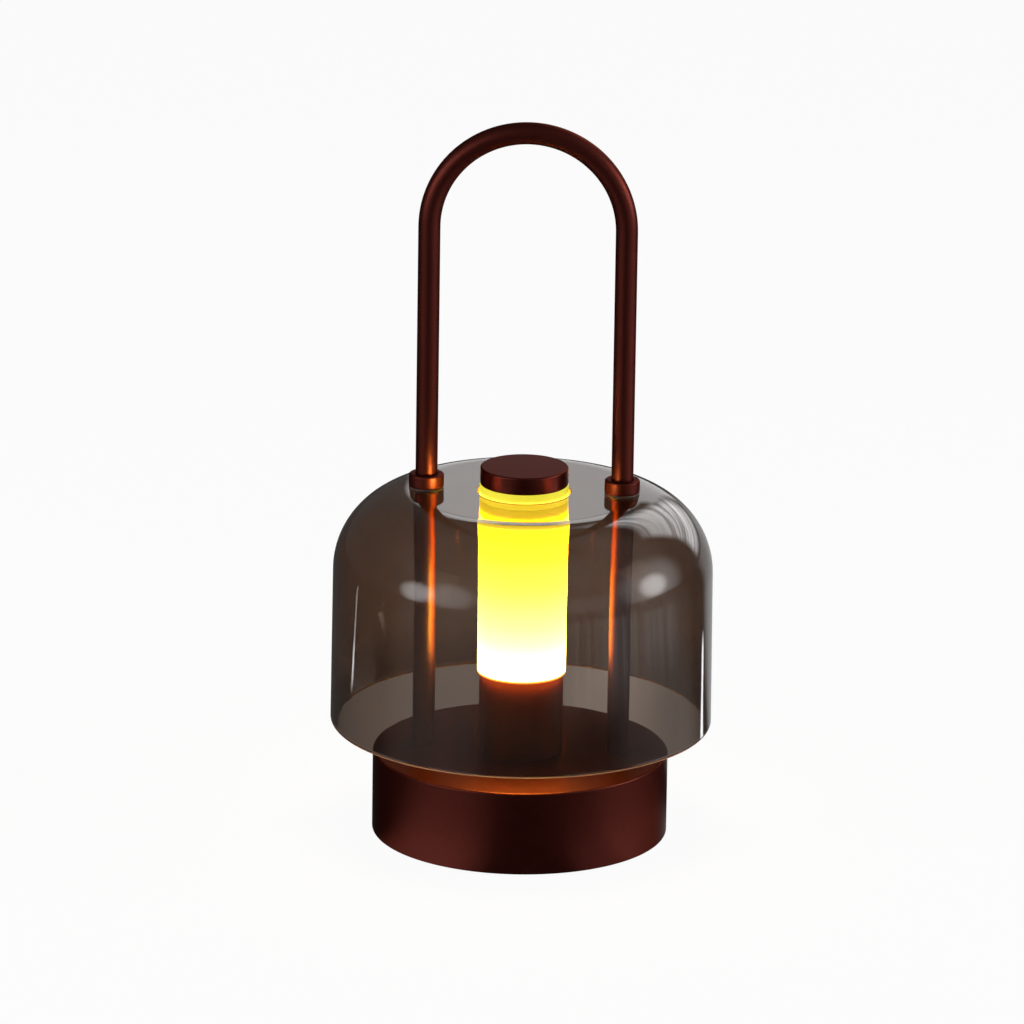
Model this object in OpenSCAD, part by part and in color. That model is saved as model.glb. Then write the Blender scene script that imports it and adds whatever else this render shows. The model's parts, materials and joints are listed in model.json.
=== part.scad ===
// Lantern table lamp: a smoked glass bell hung over a round base, a lit column in its
// middle, and a bent rod handle that clamps the glass down on two posts.
// Millimetres. Z up, origin at the centre of the foot's underside, front towards -Y,
// handle in the XZ plane, push button and charging socket in the rear wall (+Y).

/* [Base] */
// Outside diameter of the base
base_d = 135; // [132:1:160]
// Height of the base shell
base_h = 38.5; // [38:0.5:50]
// Side wall of the base shell
base_wall = 2.2; // [1.8:0.1:3]
// Top plate of the base shell
base_top_t = 3; // [2.5:0.1:4]
// Rounding of the base's top and bottom edges
base_edge_r = 0.8; // [0.4:0.1:1.5]
// How far the shell's lower edge is recessed above the foot
foot_proud = 1; // [0.6:0.1:1.5]
// Outside diameter of the foot ring
foot_d = 100; // [90:1:106]
// Width of the foot ring
foot_w = 12; // [8:1:16]
// Sheet of the bottom cover
cover_t = 2; // [1.8:0.1:2.5]
// Thickness of the ballast disc
ballast_t = 6; // [4:0.5:6.5]
// Diameter of the screw bosses
boss_d = 9; // [8:0.5:10]

/* [Glass shade] */
// Outside diameter of the open rim
shade_rim_d = 174; // [160:1:190]
// How much the wall draws in from rim to shoulder, per side
shade_draw = 0.6; // [0:0.1:3]
// Height of the glass, rim to flat top
shade_h = 109; // [95:1:125]
// How far the flat top of the glass reaches past the legs' axes
shade_seat = 4.4; // [3:0.2:8]
// Thickness of the glass
glass_t = 3.2; // [2.6:0.1:4]
// Air gap between the base and the rim
rim_gap = 13.5; // [10:0.5:20]
// Air gap round the column where it passes the glass
column_gap = 0.8; // [0.5:0.1:1.5]

/* [Light column] */
// Diameter of the metal stem
stem_d = 38.5; // [38:0.5:39]
// Height of the stem above the base
stem_h = 37; // [34:0.5:45]
// Wall of the stem
stem_wall = 1.8; // [1.5:0.1:2]
// Outside diameter of the diffuser
diffuser_d = 40.4; // [40:0.1:41]
// Length of the diffuser between stem and cap
diffuser_h = 89; // [85:1:100]
// Wall of the diffuser
diffuser_wall = 2.6; // [2.4:0.1:2.8]
// Diameter of the top cap
cap_d = 40; // [39:0.5:41]
// Height of the top cap
cap_h = 8; // [6:0.5:12]
// Rounding of the cap's edges
cap_edge_r = 0.8; // [0.3:0.1:1.5]
// Diameter of the threaded nipple that holds the stem
nipple_d = 10; // [9:0.5:10.5]

/* [Handle and posts] */
// Diameter of the handle rod and of the posts
rod_d = 10; // [9:0.5:11]
// Distance between the two legs
leg_span = 89; // [82:1:92]
// Height of the handle above the glass
handle_h = 172; // [150:1:200]
// Diameter of the collars
collar_d = 16; // [15:0.5:18]
// Height of the collars
collar_h = 6; // [5:0.5:8]
// Depth of the seat in a collar for the leg
collar_seat = 3; // [2:0.5:3.5]
// Thickness of the soft washers on both sides of the glass
washer_t = 1; // [0.8:0.1:1.5]
// Diameter of the tie rods inside the posts
tie_d = 6; // [5:0.5:6]
// Length of tie rod screwed into each leg
tie_grip = 20; // [15:1:30]

/* [Power] */
// Diameter of a battery cell
cell_d = 18.4; // [18:0.1:18.6]
// Length of a battery cell
cell_len = 65.2; // [60:0.2:66]
// Distance between the two cells' axes
cell_pitch = 19.5; // [19:0.1:20]
// Height of the push button's centre above the ballast disc
button_z = 17; // [16:0.5:18]
// Diameter of the push button
button_d = 9; // [7:0.5:10]
// How far the push button stands out of the wall
button_proud = 1.6; // [1.5:0.1:2.5]
// Travel of the push button
button_travel = 1.2; // [0.8:0.1:1.3]
// Height of the charging socket's centre above the ballast disc
socket_z = 6; // [5.5:0.5:6.5]
// Width of the charging socket
socket_w = 8.9; // [8.5:0.1:9.2]
// Height of the charging socket
socket_h = 3.3; // [3:0.1:3.5]
// Length of the charging socket
socket_len = 9.6; // [9:0.1:10.5]

/* [Fits] */
// Gap between pieces that slide or drop into each other
slip = 0.3; // [0.25:0.05:0.4]
// Radial gap between a screw and its hole
screw_gap = 0.2; // [0.1:0.05:0.3]

/* [Hidden] */
$fn = 96;

metal = "#3a1715";
metal_dark = "#2a100f";
steel = "#9a9ca0";
brass = "#b08d4a";
aluminium = "#b9bcc0";
black = "#1c1c1e";
smoke = [0.36, 0.29, 0.26, 0.45];
lit = "#fbe86a";
silicone = "#4a332c";

// Heights, from the foot upwards
shell_z = foot_proud;
cover_recess = 1;
cover_z = shell_z + cover_recess;
ballast_z = cover_z + cover_t;
deck_z = ballast_z + ballast_t;
base_top_z = shell_z + base_h;
ceiling_z = base_top_z - base_top_t;
stem_top_z = base_top_z + stem_h;
diffuser_top_z = stem_top_z + diffuser_h;
rim_z = base_top_z + rim_gap;
glass_top_z = rim_z + shade_h;
glass_under_z = glass_top_z - glass_t;
post_top_z = glass_under_z - washer_t;
collar_z = glass_top_z + washer_t;
collar_top_z = collar_z + collar_h;
leg_end_z = collar_top_z - collar_seat;
leg_x = leg_span / 2;
arch_r = leg_x;
arch_z = glass_top_z + handle_h - rod_d / 2 - arch_r;
flat_r = leg_x + shade_seat;
shoulder_r = shade_rim_d / 2 - shade_draw - flat_r;

// Base
shell_r = base_d / 2;
inner_r = shell_r - base_wall;
cover_r = inner_r - slip;
ballast_r = inner_r - 3;
boss_count = 3;
boss_r = inner_r - boss_d / 2 - 3;
boss_rib_w = 2.4;
boss_pilot_depth = 9;
cover_screw_d = 3;
cover_screw_head_d = 5.6;
cover_screw_head_h = 1.6;
cover_screw_len = cover_t + ballast_t + 6;
driver_af = 2;
driver_depth = 1.1;

// Threaded nipple, its nuts and washer
nipple_bore_d = nipple_d - 3;
nipple_nut_af = nipple_d + 4;
nipple_nut_t = 4;
nipple_washer_rim = 6;
nipple_washer_d = nipple_d + 2 * nipple_washer_rim;
nipple_washer_t = 1.2;
nipple_spare = 2.5;
stem_floor_t = 3;
nipple_low_z = ceiling_z - nipple_washer_t - nipple_nut_t - nipple_spare;
nipple_top_z = base_top_z + stem_floor_t + nipple_nut_t + nipple_spare;

// Column
stem_r = stem_d / 2;
diffuser_r = diffuser_d / 2;
diffuser_bore_r = diffuser_r - diffuser_wall;
carrier_r = min(stem_r - stem_wall, diffuser_bore_r) - screw_gap / 2;
carrier_seat_r = carrier_r - 1.4;
carrier_seat_depth = 6;
carrier_spigot_h = 3;
carrier_floor_t = 4;
lead_hole_d = 6;
led_board_r = carrier_r - 3;
led_board_t = 1.6;
led_board_z = stem_top_z + carrier_spigot_h;
led_count = 6;
led_ring_r = led_board_r - 5;
led_size = 3.4;
led_h = 0.8;
cap_spigot_h = 7;
cap_spigot_r = diffuser_bore_r - slip;
cap_wall = 2;
cap_top_t = 4;
seal_r = 0.7;
seal_ring_r = diffuser_bore_r - seal_r;
seal_z = diffuser_top_z - cap_spigot_h / 2;

// Tie rods, nuts and washers
tie_r = tie_d / 2;
tie_hole_r = tie_r + screw_gap;
tie_nut_af = tie_d + 4;
tie_nut_t = 5;
tie_washer_d = tie_d * 2;
tie_washer_t = 1.2;
tie_spare = 2;
lower_washer_r = rod_d / 2 + 1;
tie_low_z = ceiling_z - tie_washer_t - tie_nut_t - tie_spare;
tie_top_z = leg_end_z + tie_grip;
grommet_r = tie_r + 1.6;
glass_hole_r = grommet_r + screw_gap;
collar_edge_r = 0.9;

// Battery and tray
tray_wall = 1.6;
tray_floor_t = 1.5;
tray_h = 11;
tray_end_h = 15;
cell_gap = slip;
cell_z = deck_z + tray_floor_t + cell_d / 2 + cell_gap;
cell_rear_y = -(nipple_nut_af / 2 + cell_d / 2 + 2.5);
cell_ys = [cell_rear_y - cell_pitch, cell_rear_y];
tray_half_x = cell_len / 2 + cell_gap + tray_wall;
tray_y_low = cell_ys[0] - cell_d / 2 - cell_gap - tray_wall;
tray_y_high = cell_ys[1] + cell_d / 2 + cell_gap + tray_wall;
tray_lug_r = 4;
tray_lug_x = tray_half_x + 3;
tray_lug_y = (tray_y_low + tray_y_high) / 2;
tray_lug_t = 2.5;
pad_half_x = cell_len * 0.3;
small_screw_d = 3;
small_screw_head_d = 5.4;
small_screw_head_h = 1.8;
small_screw_bite = 4;

// Board, switch and socket, all on the rear centre line
board_t = 1.6;
board_half_x = 20;
socket_inset = 0.6;
board_face_y = shell_r - socket_inset - socket_len;
board_back_y = board_face_y - board_t;
bracket_floor_t = 2;
bracket_post_w = 4;
bracket_post_y = 1.8;
bracket_depth = 12;
board_h = 21.5;
board_bottom_z = deck_z + bracket_floor_t;
board_top_z = board_bottom_z + board_h;
switch_half = 4;
switch_depth = 4;
switch_face_y = board_face_y + switch_depth;
button_r = button_d / 2;
button_axis_z = deck_z + button_z;
button_flange_r = button_r + 1.5;
button_flange_t = 1.2;
button_flange_y = sqrt(inner_r * inner_r - button_flange_r * button_flange_r) - slip;
button_tip_y = shell_r + button_proud;
plunger_r = 1.7;
plunger_in = button_travel + 1.1;
socket_axis_z = deck_z + socket_z;
socket_skin = 0.35;
socket_tongue_t = 0.7;
socket_tongue_w = socket_w - 3;
connector = [6, 5, 4.4];
chip = [7, 1.4, 7];
chip_x = 12;
coil_r = 4;
coil_h = 3.5;
coil_x = -12;
small_part = [1.6, 1, 3.2];
small_part_x = 8;
small_part_pitch = 3;
small_part_count = 4;
bracket_screw_x = 12;
bracket_screw_y = board_back_y - connector[1] - small_screw_head_d / 2 - 2 * slip;
lead_d = 3;
cell_lead_d = 2.4;
cell_lead_x = -14;
cell_lead_z = deck_z + 5;
led_lead_z = nipple_low_z - 6;
lead_bend_r = 4;

// Points of an arc, centre [x, y], from angle a0 to a1 in n steps
function arc(x, y, r, a0, a1, n = 6) =
    [for (i = [0 : n]) let (a = a0 + (a1 - a0) * i / n) [x + r * cos(a), y + r * sin(a)]];

// A turned disc with both outer edges rounded, from z0 to z1
module turned(r, z0, z1, edge) {
    rotate_extrude()
        polygon(concat(
            [[0, z0]],
            arc(r - edge, z0 + edge, edge, -90, 0),
            arc(r - edge, z1 - edge, edge, 0, 90),
            [[0, z1]]
        ));
}

module ring(r_out, r_in, z0, z1) {
    translate([0, 0, z0])
        difference() {
            cylinder(r = r_out, h = z1 - z0);
            translate([0, 0, -1]) cylinder(r = r_in, h = z1 - z0 + 2);
        }
}

module hex_nut(af, bore_r, z0, z1) {
    translate([0, 0, z0])
        difference() {
            cylinder(d = af / cos(30), h = z1 - z0, $fn = 6);
            translate([0, 0, -1]) cylinder(r = bore_r, h = z1 - z0 + 2);
        }
}

// Places its children at both legs
module both_legs() {
    for (side = [-1, 1])
        translate([side * leg_x, 0, 0]) children();
}

// Places its children at the screw bosses, one of them at the front
module at_bosses() {
    for (i = [0 : boss_count - 1])
        rotate([0, 0, -90 + i * 360 / boss_count])
            translate([boss_r, 0, 0]) children();
}

// A bar along Y with round ends across X, centred on the Y axis at height z
module slot_bar(w, h, y0, y1, z) {
    translate([0, y1, z])
        rotate([90, 0, 0])
            linear_extrude(y1 - y0) {
                square([w - h, h], center = true);
                for (side = [-1, 1])
                    translate([side * (w - h) / 2, 0]) circle(d = h);
            }
}

module y_cylinder(r, y0, y1, z) {
    translate([0, y0, z]) rotate([-90, 0, 0]) cylinder(r = r, h = y1 - y0);
}

module rounded_block(x0, x1, y0, y1, z0, z1, r) {
    translate([0, 0, z0])
        linear_extrude(z1 - z0) {
            translate([x0 + r, y0]) square([x1 - x0 - 2 * r, y1 - y0]);
            translate([x0, y0 + r]) square([x1 - x0, y1 - y0 - 2 * r]);
            for (x = [x0 + r, x1 - r], y = [y0 + r, y1 - r])
                translate([x, y]) circle(r = r);
        }
}

// ---- Base ----

// Die-cast shell: side wall, top plate and three ribbed screw bosses in one piece
module base_shell() {
    color(metal)
        difference() {
            union() {
                rotate_extrude()
                    polygon(concat(
                        [[inner_r, shell_z]],
                        arc(shell_r - base_edge_r, shell_z + base_edge_r, base_edge_r, -90, 0),
                        arc(shell_r - base_edge_r, base_top_z - base_edge_r, base_edge_r, 0, 90),
                        [[0, base_top_z], [0, ceiling_z], [inner_r, ceiling_z]]
                    ));
                at_bosses() {
                    translate([0, 0, deck_z]) cylinder(d = boss_d, h = ceiling_z - deck_z + 0.5);
                    translate([0, -boss_rib_w / 2, deck_z + 3])
                        cube([inner_r - boss_r + 0.5, boss_rib_w, ceiling_z - deck_z - 2.5]);
                }
            }
            at_bosses()
                translate([0, 0, deck_z - 1])
                    cylinder(d = cover_screw_d + 2 * screw_gap, h = boss_pilot_depth + 1);
            translate([0, 0, ceiling_z - 1])
                cylinder(r = nipple_d / 2 + screw_gap, h = base_top_t + 2);
            both_legs()
                translate([0, 0, ceiling_z - 1]) cylinder(r = tie_hole_r, h = base_top_t + 2);
            y_cylinder(button_r + slip, inner_r - 6, shell_r + 2, button_axis_z);
            slot_bar(socket_w + slip, socket_h + slip, inner_r - 6, shell_r + 2, socket_axis_z);
        }
}

// Pressed steel cover, countersunk for its screws
module bottom_cover() {
    color(black)
        difference() {
            translate([0, 0, cover_z]) cylinder(r = cover_r, h = cover_t);
            at_bosses() {
                translate([0, 0, cover_z - 1])
                    cylinder(d = cover_screw_d + 2 * screw_gap, h = cover_t + 2);
                translate([0, 0, cover_z])
                    cylinder(
                        d1 = cover_screw_head_d,
                        d2 = cover_screw_d,
                        h = cover_screw_head_h
                    );
            }
        }
}

module cover_screws() {
    color(steel)
        at_bosses()
            translate([0, 0, cover_z])
                difference() {
                    union() {
                        cylinder(
                            d1 = cover_screw_head_d,
                            d2 = cover_screw_d,
                            h = cover_screw_head_h
                        );
                        cylinder(d = cover_screw_d, h = cover_screw_len);
                    }
                    translate([0, 0, -1])
                        cylinder(d = driver_af / cos(30), h = driver_depth + 1, $fn = 6);
                }
}

// Soft ring stuck under the cover, rounded where it meets the table
module foot_ring() {
    foot_r = foot_d / 2;
    edge = 0.5;
    color(black)
        rotate_extrude()
            polygon(concat(
                [[foot_r, cover_z], [foot_r - foot_w, cover_z]],
                arc(foot_r - foot_w + edge, edge, edge, 180, 270),
                arc(foot_r - edge, edge, edge, -90, 0)
            ));
}

// Steel disc that keeps the lamp upright, clamped between cover and bosses
module ballast_plate() {
    color(steel)
        difference() {
            translate([0, 0, ballast_z]) cylinder(r = ballast_r, h = ballast_t);
            at_bosses()
                translate([0, 0, ballast_z - 1])
                    cylinder(d = cover_screw_d + 2 * screw_gap, h = ballast_t + 2);
            at_small_screws()
                translate([0, 0, deck_z - small_screw_bite - 0.5])
                    cylinder(d = small_screw_d + 2 * screw_gap, h = small_screw_bite + 1.5);
        }
}

// ---- Battery ----

module at_tray_screws() {
    for (side = [-1, 1])
        translate([side * tray_lug_x, tray_lug_y, 0]) children();
}

module at_bracket_screws() {
    for (side = [-1, 1])
        translate([side * bracket_screw_x, bracket_screw_y, 0]) children();
}

module at_small_screws() {
    at_tray_screws() children();
    at_bracket_screws() children();
}

module cell_bores(extra) {
    for (y = cell_ys)
        translate([-cell_len / 2 - extra, y, cell_z])
            rotate([0, 90, 0]) cylinder(r = cell_d / 2 + extra, h = cell_len + 2 * extra);
}

// Moulded tray: two saddles, raised ends and two screw lugs
module battery_tray() {
    color(black)
        difference() {
            union() {
                rounded_block(-tray_half_x, tray_half_x, tray_y_low, tray_y_high,
                    deck_z, deck_z + tray_h, 2);
                for (side = [-1, 1])
                    translate([side * (tray_half_x - tray_wall / 2) - tray_wall / 2,
                        tray_y_low + 3, deck_z])
                        cube([tray_wall, tray_y_high - tray_y_low - 6, tray_end_h]);
                at_tray_screws() {
                    translate([0, 0, deck_z]) cylinder(r = tray_lug_r, h = tray_lug_t);
                }
            }
            cell_bores(cell_gap);
            at_tray_screws()
                translate([0, 0, deck_z - 1])
                    cylinder(d = small_screw_d + 2 * screw_gap, h = tray_lug_t + 2);
            at_tray_screws()
                translate([0, 0, deck_z + tray_lug_t])
                    cylinder(d = small_screw_head_d + 2 * slip, h = tray_end_h);
        }
}

module small_screw(seat_z) {
    difference() {
        union() {
            translate([0, 0, deck_z - small_screw_bite])
                cylinder(d = small_screw_d, h = seat_z - deck_z + small_screw_bite);
            translate([0, 0, seat_z]) cylinder(d = small_screw_head_d, h = small_screw_head_h);
        }
        translate([0, 0, seat_z + small_screw_head_h - driver_depth])
            cylinder(d = driver_af / cos(30), h = driver_depth + 1, $fn = 6);
    }
}

module tray_screws() {
    color(steel) at_tray_screws() small_screw(deck_z + tray_lug_t);
}

// Two cells side by side, each with its raised contact, turned end for end
module battery_cells() {
    tip_r = 3;
    tip_h = cell_gap;
    color("#3f6f8f")
        for (i = [0, 1])
            translate([0, cell_ys[i], cell_z])
                rotate([0, i == 0 ? 90 : -90, 0]) {
                    translate([0, 0, -cell_len / 2]) cylinder(d = cell_d, h = cell_len);
                    translate([0, 0, cell_len / 2]) cylinder(r = tip_r, h = tip_h);
                }
}

// Foam block that presses the cells into their tray
module battery_pad() {
    color("#404044")
        difference() {
            translate([-pad_half_x, cell_ys[0] - cell_d / 3, cell_z + cell_d / 3])
                cube([2 * pad_half_x, cell_pitch + cell_d * 2 / 3, ceiling_z - cell_z - cell_d / 3]);
            cell_bores(0.05);
            translate([0, 0, nipple_low_z - 1])
                cylinder(r = nipple_washer_d / 2 + slip, h = ceiling_z - nipple_low_z + 2);
        }
}

// Flat two-core lead from the cells to the board
module battery_lead() {
    color("#7a1f1c")
        translate([cell_lead_x, 0, 0])
            y_cylinder(cell_lead_d / 2, tray_y_high, board_back_y - connector[1], cell_lead_z);
}

// ---- Board, switch and charging socket ----

// Moulded bracket: floor, two grooved posts and a web that joins them
module board_bracket() {
    post_in = board_half_x - 1.5;
    post_out = post_in + bracket_post_w;
    y_low = board_back_y - bracket_depth;
    y_high = board_face_y + bracket_post_y;
    color(black)
        difference() {
            union() {
                rounded_block(-post_out, post_out, y_low, y_high, deck_z, board_bottom_z, 1.5);
                for (side = [-1, 1])
                    translate([side * (post_in + post_out) / 2 - bracket_post_w / 2,
                        board_back_y - bracket_post_y, deck_z])
                        cube([bracket_post_w, y_high - board_back_y + bracket_post_y,
                            board_top_z - deck_z]);
                for (side = [-1, 1])
                    translate([side * (post_out - 1) - 1, y_low + 2, deck_z])
                        cube([2, board_back_y - y_low - 2, 8]);
            }
            translate([-board_half_x - screw_gap, board_back_y - 0.05, board_bottom_z])
                cube([2 * (board_half_x + screw_gap), board_t + 0.1, board_top_z]);
            at_bracket_screws()
                translate([0, 0, deck_z - 1])
                    cylinder(d = small_screw_d + 2 * screw_gap, h = bracket_floor_t + 2);
        }
}

module bracket_screws() {
    color(steel) at_bracket_screws() small_screw(board_bottom_z);
}

module control_board() {
    color("#1f5a38")
        translate([-board_half_x, board_back_y, board_bottom_z])
            cube([2 * board_half_x, board_t, board_top_z - board_bottom_z]);
}

// Two lead connectors, a coil, a controller chip and a row of small parts
module board_components() {
    color("#d9d4c4") {
        translate([cell_lead_x, 0, cell_lead_z]) board_block(connector);
        translate([0, 0, led_lead_z]) board_block(connector);
        for (i = [0 : small_part_count - 1])
            translate([small_part_x + small_part_pitch * i, 0, cell_lead_z])
                board_block(small_part);
    }
    color(black) {
        translate([chip_x, 0, led_lead_z]) board_block(chip);
        translate([coil_x, 0, 0])
            y_cylinder(coil_r, board_back_y - coil_h, board_back_y, board_top_z - coil_r - 2);
    }
}

module board_block(size) {
    translate([-size[0] / 2, board_back_y - size[1], -size[2] / 2]) cube(size);
}

// Metal shell with round ends, open to the rear, with the contact tongue inside
module charging_socket() {
    back_t = 1.2;
    mouth_y = board_face_y + socket_len;
    color(steel) {
        difference() {
            slot_bar(socket_w, socket_h, board_face_y, mouth_y, socket_axis_z);
            slot_bar(socket_w - 2 * socket_skin, socket_h - 2 * socket_skin,
                board_face_y + back_t, mouth_y + 1, socket_axis_z);
        }
        translate([-socket_tongue_w / 2, board_face_y + back_t, socket_axis_z - socket_tongue_t / 2])
            cube([socket_tongue_w, socket_len - back_t - 1.5, socket_tongue_t]);
    }
}

module switch_body() {
    color(black)
        difference() {
            translate([-switch_half, board_face_y, button_axis_z - switch_half])
                cube([2 * switch_half, switch_depth, 2 * switch_half]);
            y_cylinder(plunger_r + slip, board_face_y - 1, switch_face_y + 1, button_axis_z);
        }
}

module switch_plunger() {
    color("#e8e4da")
        y_cylinder(plunger_r, switch_face_y - plunger_in, button_flange_y - button_flange_t,
            button_axis_z);
}

// Button with a crowned face and a flange that keeps it behind the wall
module power_button() {
    edge = 0.6;
    crown = 0.3;
    face_angle = 70;
    head = button_tip_y - crown - button_flange_y;
    color(metal_dark)
        translate([0, button_flange_y, button_axis_z])
            rotate([-90, 0, 0])
                rotate_extrude()
                    polygon(concat(
                        [[0, -button_flange_t], [button_flange_r, -button_flange_t]],
                        [[button_flange_r, 0], [button_r, 0]],
                        arc(button_r - edge, head - edge, edge, 0, face_angle),
                        [[button_r * 0.5, head + crown * 0.8], [0, head + crown]]
                    ));
}

// ---- Light column ----

// Turned stem: a floor for the nipple, and a seat for the carrier near the top
module stem_tube() {
    color(metal)
        difference() {
            turned(stem_r, base_top_z, stem_top_z, 0.3);
            translate([0, 0, base_top_z + stem_floor_t])
                cylinder(r = carrier_seat_r, h = stem_h);
            translate([0, 0, stem_top_z - carrier_seat_depth])
                cylinder(r = carrier_r + screw_gap / 2, h = stem_h);
            translate([0, 0, base_top_z - 1])
                cylinder(r = nipple_d / 2 + screw_gap, h = stem_floor_t + 2);
        }
}

module stem_nipple() {
    color(brass) ring(nipple_d / 2, nipple_bore_d / 2, nipple_low_z, nipple_top_z);
}

module nipple_nuts() {
    upper_z = base_top_z + stem_floor_t;
    lower_z = ceiling_z - nipple_washer_t - nipple_nut_t;
    color(brass)
        for (z = [lower_z, upper_z])
            hex_nut(nipple_nut_af, nipple_d / 2 + screw_gap / 2, z, z + nipple_nut_t);
}

module nipple_washer() {
    color(steel)
        ring(nipple_washer_d / 2, nipple_d / 2 + screw_gap, ceiling_z - nipple_washer_t, ceiling_z);
}

// Aluminium carrier: carries the light board, centres the diffuser, hollow underneath
module led_carrier() {
    low_z = stem_top_z - carrier_seat_depth;
    color(aluminium)
        difference() {
            turned(carrier_r, low_z, led_board_z, 0.3);
            translate([0, 0, low_z - 1])
                cylinder(r = carrier_seat_r - 1.5, h = led_board_z - carrier_floor_t - low_z + 1);
            translate([0, 0, low_z]) cylinder(d = lead_hole_d, h = led_board_z);
        }
}

module led_board() {
    color("#f2f2ee") ring(led_board_r, lead_hole_d / 2, led_board_z, led_board_z + led_board_t);
}

module led_emitters() {
    color(lit)
        for (i = [0 : led_count - 1])
            rotate([0, 0, i * 360 / led_count])
                translate([led_ring_r - led_size / 2, -led_size / 2, led_board_z + led_board_t])
                    cube([led_size, led_size, led_h]);
}

// Lead from the light board down through the nipple, round a bend and back to the board
module led_lead() {
    top_z = led_board_z + led_board_t;
    bend_z = led_lead_z + lead_bend_r;
    color(black) {
        translate([0, 0, bend_z]) cylinder(d = lead_d, h = top_z - bend_z);
        translate([0, lead_bend_r, bend_z])
            rotate([90, 0, 90])
                rotate([0, 0, 180])
                    rotate_extrude(angle = 90) translate([lead_bend_r, 0]) circle(d = lead_d);
        y_cylinder(lead_d / 2, lead_bend_r, board_back_y - connector[1], led_lead_z);
    }
}

module diffuser_tube() {
    color(lit) ring(diffuser_r, diffuser_bore_r, stem_top_z, diffuser_top_z);
}

// Soft ring in the cap's groove, pressed against the diffuser's bore
module cap_seal() {
    color(black)
        translate([0, 0, seal_z]) rotate_extrude() translate([seal_ring_r, 0]) circle(r = seal_r, $fn = 32);
}

// Turned cap: disc with rounded edges and a hollow spigot with a seal groove
module top_cap() {
    color(metal)
        difference() {
            union() {
                turned(cap_d / 2, diffuser_top_z, diffuser_top_z + cap_h, cap_edge_r);
                translate([0, 0, diffuser_top_z - cap_spigot_h])
                    cylinder(r = cap_spigot_r, h = cap_spigot_h + 1);
            }
            translate([0, 0, diffuser_top_z - cap_spigot_h - 1])
                cylinder(r = cap_spigot_r - cap_wall, h = cap_spigot_h + cap_h - cap_top_t + 1);
            ring(cap_spigot_r + 1, seal_ring_r - seal_r, seal_z - seal_r, seal_z + seal_r);
        }
}

// ---- Posts, collars and handle ----

module post() {
    color(metal) ring(rod_d / 2, tie_hole_r, base_top_z, post_top_z);
}

module post_left() {
    translate([-leg_x, 0, 0]) post();
}

module post_right() {
    translate([leg_x, 0, 0]) post();
}

module tie_rods() {
    color(steel)
        both_legs() translate([0, 0, tie_low_z]) cylinder(r = tie_r, h = tie_top_z - tie_low_z);
}

module tie_nuts() {
    top_z = ceiling_z - tie_washer_t;
    color(steel) both_legs() hex_nut(tie_nut_af, tie_r + screw_gap / 2, top_z - tie_nut_t, top_z);
}

module tie_washers() {
    color(steel) both_legs() ring(tie_washer_d / 2, tie_hole_r, ceiling_z - tie_washer_t, ceiling_z);
}

// Soft washers on the posts, which take up the curve of the glass above them
module lower_washers() {
    color(silicone)
        intersection() {
            both_legs() ring(lower_washer_r, tie_hole_r, post_top_z, glass_under_z);
            rotate_extrude($fn = 180) bell_outline(glass_t, rim_z);
        }
}

// Grommets: a flange under the collar and a sleeve that lines the hole in the glass
module upper_grommets() {
    sleeve_end = 0.4;
    color(silicone)
        both_legs()
            difference() {
                union() {
                    translate([0, 0, glass_top_z]) cylinder(d = collar_d, h = washer_t);
                    translate([0, 0, glass_under_z + sleeve_end])
                        cylinder(r = grommet_r, h = glass_t - sleeve_end + washer_t / 2);
                }
                translate([0, 0, glass_under_z]) cylinder(r = tie_hole_r, h = glass_t + washer_t + 1);
            }
}

module collar() {
    color(metal)
        difference() {
            turned(collar_d / 2, collar_z, collar_top_z, collar_edge_r);
            translate([0, 0, collar_z - 1]) cylinder(r = tie_hole_r, h = collar_h + 2);
            translate([0, 0, leg_end_z]) cylinder(r = rod_d / 2 + screw_gap / 2, h = collar_h);
        }
}

module collar_left() {
    translate([-leg_x, 0, 0]) collar();
}

module collar_right() {
    translate([leg_x, 0, 0]) collar();
}

// One rod bent into a round arch, its ends drilled for the tie rods
module handle() {
    color(metal)
        difference() {
            union() {
                both_legs()
                    translate([0, 0, leg_end_z]) cylinder(d = rod_d, h = arch_z - leg_end_z);
                translate([0, 0, arch_z])
                    rotate([90, 0, 0])
                        rotate_extrude(angle = 180) translate([arch_r, 0]) circle(d = rod_d);
            }
            both_legs()
                translate([0, 0, leg_end_z - 1])
                    cylinder(r = tie_r + screw_gap / 2, h = tie_grip + 3);
        }
}

// ---- Glass ----

// Half outline of the bell, drawn in by inset from its outer face
module bell_outline(inset, low_z) {
    shoulder_z = glass_top_z - shoulder_r;
    rim_r = shade_rim_d / 2 - inset;
    polygon(concat(
        [[0, low_z], [rim_r, low_z]],
        arc(flat_r, shoulder_z, shoulder_r - inset, 0, 90, 24),
        [[0, glass_top_z - inset]]
    ));
}

// Blown bell of even thickness: flat top, round shoulder, open fire-polished rim
module glass_shade() {
    rim_round = glass_t / 2;
    color(smoke)
        difference() {
            rotate_extrude($fn = 180) {
                difference() {
                    bell_outline(0, rim_z + rim_round);
                    bell_outline(glass_t, rim_z);
                }
                translate([shade_rim_d / 2 - rim_round, rim_z + rim_round])
                    circle(r = rim_round, $fn = 32);
            }
            translate([0, 0, glass_under_z - 1])
                cylinder(r = diffuser_r + column_gap, h = glass_t + 2);
            both_legs()
                translate([0, 0, glass_under_z - 1]) cylinder(r = glass_hole_r, h = glass_t + 2);
        }
}

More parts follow.
